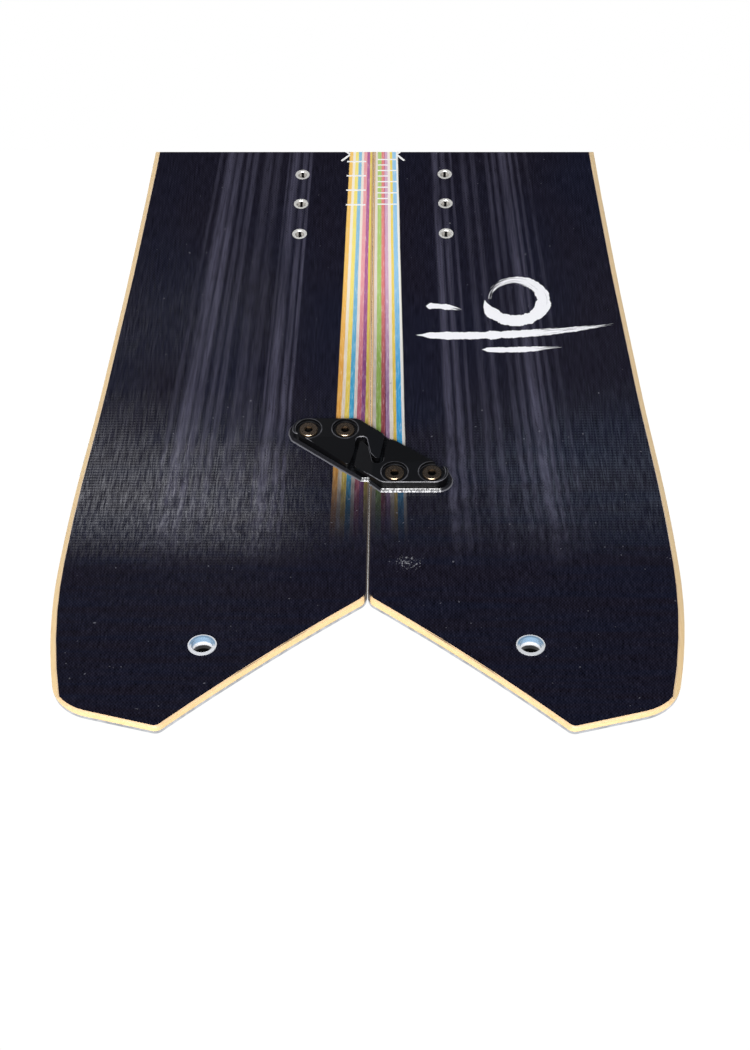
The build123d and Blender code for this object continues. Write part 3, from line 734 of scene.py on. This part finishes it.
def make_world():
    """A faint cool room light, which the camera sees as plain white."""
    world = bpy.data.worlds.new("studio")
    world.use_nodes = True
    tree = world.node_tree
    tree.nodes.clear()
    room = add_node(tree, "Background", {"Color": (0.9, 0.94, 1.0, 1.0), "Strength": 0.05})
    white = add_node(tree, "Background", {"Color": (1.0, 1.0, 1.0, 1.0), "Strength": 1.0})
    seen = add_node(tree, "LightPath", {}, "Is Camera Ray")
    both = add_node(tree, "MixShader", {0: seen, 1: room, 2: white})
    put(tree, both, tree.nodes.new("ShaderNodeOutputWorld").inputs[0])
    return world


def area_light(name, location, target, size, power, colour=(1, 1, 1)):
    """A soft box aimed at a point."""
    data = bpy.data.lights.new(name, "AREA")
    data.shape = "RECTANGLE"
    data.size, data.size_y = size
    data.energy = power
    data.color = colour
    lamp = bpy.data.objects.new(name, data)
    lamp.location = location
    lamp.visible_camera = False
    lamp.rotation_mode = "QUATERNION"
    lamp.rotation_quaternion = (Vector(target) - Vector(location)).to_track_quat("-Z", "Y")
    bpy.context.scene.collection.objects.link(lamp)


bpy.ops.mesh.primitive_plane_add(size=FLOOR_SIZE, location=(0, 0, FLOOR_Z))
floor = bpy.context.object
floor.name = "floor"
floor.data.materials.append(make_floor())

bpy.context.scene.world = make_world()
area_light("front_box", (-0.15, -2.35, 1.95), (0, -0.62, 0.01), (2.2, 0.9), 105)
# a narrow box whose reflection makes the light patch on the left of the tail
area_light("sheen_box", (-0.30, 0.02, 0.60), (-0.1, -0.64, 0.01), (0.40, 0.05), 0.23, (0.93, 0.94, 1.0))
area_light("blue_box", (0.30, 0.50, 1.24), (0.1, -0.6, 0.01), (0.35, 0.4), 0.3, (0.6, 0.75, 1.0))

# ---- camera ----
CAMERA_DOWN, CAMERA_YAW, CAMERA_ROLL = (math.radians(angle) for angle in (52.776, -1.4226, -1.1625))
CAMERA_AWAY = 0.86828  # m from the point that it looks at
LOOKED_AT = Vector((3.11 * MM, -658 * MM, FLAT_TOP * MM))
SENSOR, LENS = 36, 59.16  # mm
CLIP_START = 0.002  # m, nearer than the card below


def place_camera():
    """A camera at the photograph's angle and distance."""
    data = bpy.data.cameras.new("camera")
    data.sensor_width = SENSOR
    data.lens = LENS
    data.clip_start = CLIP_START
    camera = bpy.data.objects.new("camera", data)
    bpy.context.scene.collection.objects.link(camera)
    flat = math.cos(CAMERA_DOWN)
    forward = Vector((math.sin(CAMERA_YAW) * flat, math.cos(CAMERA_YAW) * flat, -math.sin(CAMERA_DOWN)))
    level = Vector((math.cos(CAMERA_YAW), -math.sin(CAMERA_YAW), 0))
    upward = level.cross(forward)
    across = level * math.cos(CAMERA_ROLL) + upward * math.sin(CAMERA_ROLL)
    overhead = upward * math.cos(CAMERA_ROLL) - level * math.sin(CAMERA_ROLL)
    turned = Matrix((across, overhead, -forward)).transposed().to_4x4()
    camera.matrix_world = Matrix.Translation(LOOKED_AT - forward * CAMERA_AWAY) @ turned
    return camera


camera = place_camera()
bpy.context.scene.camera = camera

# a white card, 3 mm wide and just before the lens, covers the board beyond the picture's upper
# margin, in m: its distance, its lower and upper edge over the line of sight, and its half-width
CARD_AWAY, CARD_LOW, CARD_HIGH, CARD_HALF = 0.006, 0.0012972, 0.0020, 0.00145

card_mesh = bpy.data.meshes.new("card")
card_corners = []
for aside, above in ((-1, CARD_LOW), (1, CARD_LOW), (1, CARD_HIGH), (-1, CARD_HIGH)):
    card_corners.append(camera.matrix_world @ Vector((aside * CARD_HALF, above, -CARD_AWAY)))
card_mesh.from_pydata(card_corners, [], [(0, 1, 2, 3)])
card_mesh.materials.append(Shader("card_white", "Emission").material)
card = bpy.data.objects.new("card", card_mesh)
card.visible_diffuse = False
card.visible_glossy = False
card.visible_transmission = False
card.visible_shadow = False
bpy.context.scene.collection.objects.link(card)

bpy.context.scene.view_settings.view_transform = "Standard"
